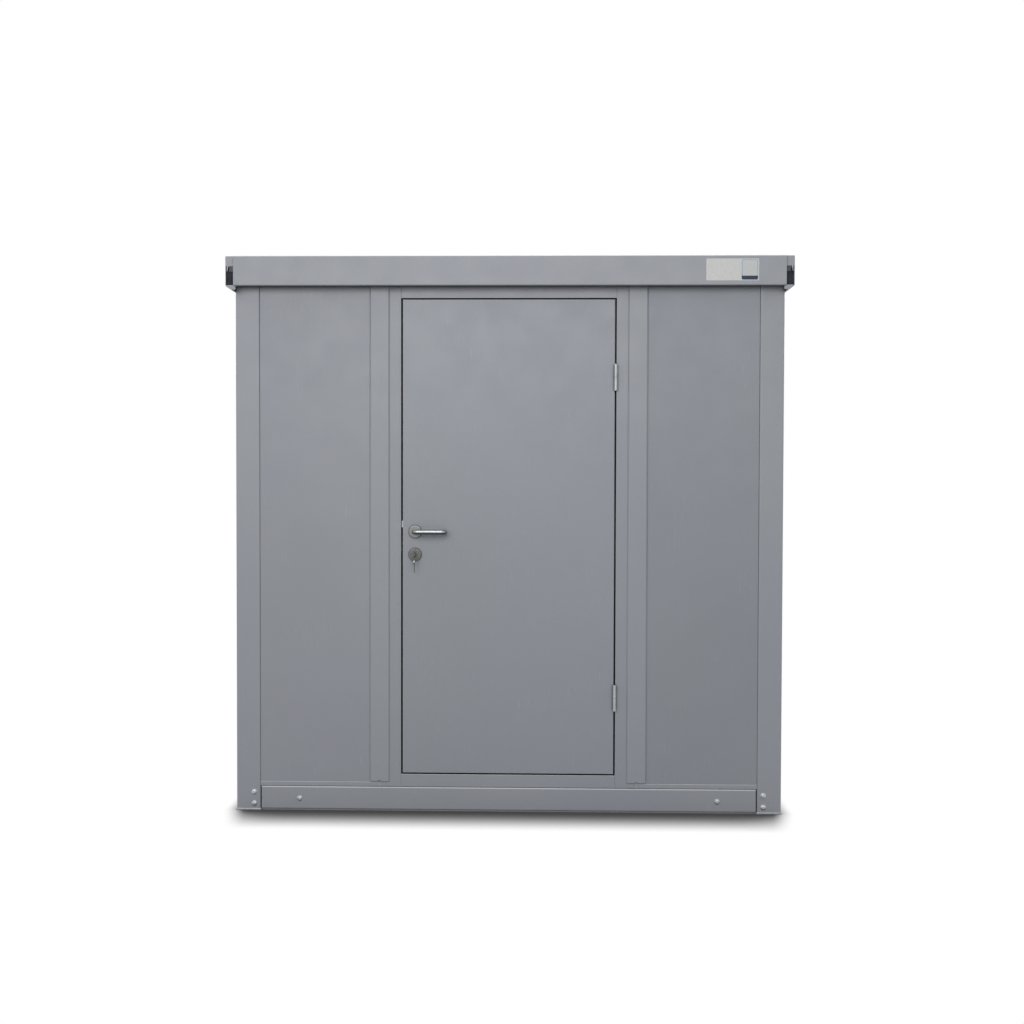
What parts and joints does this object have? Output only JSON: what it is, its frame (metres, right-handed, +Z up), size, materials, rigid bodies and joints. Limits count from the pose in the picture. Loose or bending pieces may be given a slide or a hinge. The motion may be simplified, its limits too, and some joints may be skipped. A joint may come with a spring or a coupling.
{
  "type": "portable office cabin",
  "caption": "Small flat-packed steel cabin: folded frame, sandwich wall panels, cover strips, roof fascia and a lockable outward-opening door with lever handle and key.",
  "frame": {"origin": "on the ground under the middle of the cabin", "axes": "+X to the right along the front as seen from outside, +Y from the front (door side) to the back, +Z up"},
  "size_m": [2.308, 2.37, 2.28],
  "materials": {
    "grey_paint": "satin grey powder coat",
    "galvanised": "hot-dip galvanised",
    "plywood": "sealed plywood",
    "seal_rubber": "black rubber",
    "plug_foam": "black foam rubber",
    "roof_coating": "satin grey coil coating",
    "lock_steel": "brushed",
    "zinc_steel": "zinc plated",
    "stainless": "satin stainless",
    "nickel_brass": "nickel plated"
  },
  "bodies": {
    "cabin": {"base_rail_front": "grey_paint", "base_rail_rear": "grey_paint", "base_rail_left": "grey_paint", "base_rail_right": "grey_paint", "floor_joists": "galvanised", "floor_deck": "plywood", "corner_post_front_left": "grey_paint", "corner_post_front_right": "grey_paint", "corner_post_rear_left": "grey_paint", "corner_post_rear_right": "grey_paint", "panel_tracks": "grey_paint", "wall_panel_front_left": "grey_paint", "wall_panel_front_right": "grey_paint", "wall_panel_rear_left": "grey_paint", "wall_panel_rear_right": "grey_paint", "wall_panel_left_front": "grey_paint", "wall_panel_left_rear": "grey_paint", "wall_panel_right_front": "grey_paint", "wall_panel_right_rear": "grey_paint", "cover_strips_outside": "grey_paint", "cover_strips_inside": "grey_paint", "door_jamb_left": "grey_paint", "door_jamb_right": "grey_paint", "door_head": "grey_paint", "door_sill": "grey_paint", "door_seal": "seal_rubber", "strike_plate": "lock_steel", "hinge_frame_halves": "zinc_steel", "roof_panel_front": "roof_coating", "roof_panel_rear": "roof_coating", "fascia_front": "grey_paint", "fascia_rear": "grey_paint", "eave_left": "grey_paint", "eave_right": "grey_paint", "eave_plugs": "plug_foam"},
    "door": {"door_leaf": "grey_paint", "hinge_door_halves": "zinc_steel", "lock_case": "lock_steel", "lock_cylinder": "nickel_brass", "rosettes": "stainless"},
    "handle": {"lever_outside": "stainless", "lever_inside": "stainless"},
    "latch": {"latch_bolt": "zinc_steel"},
    "bolt": {"dead_bolt": "zinc_steel"},
    "lock_key": {"cylinder_plug": "nickel_brass", "key": "nickel_brass"},
    "ring": {"key_ring": "nickel_brass", "spare_key": "nickel_brass"}
  },
  "joints": [
    {"name": "door_swing", "type": "hinge", "parent": "cabin", "child": "door", "pos_m": [0.43825, -1.1315, 1.1355], "axis": [0, 0, 1], "range_deg": [0, 165]},
    {"name": "handle_turn", "type": "hinge", "parent": "door", "child": "handle", "pos_m": [-0.384, -1.1035, 1.1585], "axis": [0, 1, 0], "range_deg": [0, 40], "stiffness_Nm_per_rad": 3, "springref_deg": -22.92},
    {"name": "latch_slide", "type": "slide", "parent": "door", "child": "latch", "axis": [1, 0, 0], "range_m": [0, 0.0052]},
    {"name": "key_turn", "type": "hinge", "parent": "door", "child": "lock_key", "pos_m": [-0.384, -1.1325, 1.064], "axis": [0, -1, 0], "range_deg": [0, 360]},
    {"name": "bolt_throw", "type": "slide", "parent": "door", "child": "bolt", "axis": [-1, 0, 0], "range_m": [0, 0.02]},
    {"name": "ring_swing", "type": "hinge", "parent": "lock_key", "child": "ring", "pos_m": [-0.384, -1.1525, 1.064], "axis": [-1, 0, 0], "range_deg": [-2, 60]}
  ],
  "couplings": [
    {"joint": "latch_slide", "follows": "handle_turn", "m_per_rad": 0.0071},
    {"joint": "key_turn", "follows": "bolt_throw", "rad_per_m": 314.16}
  ]
}
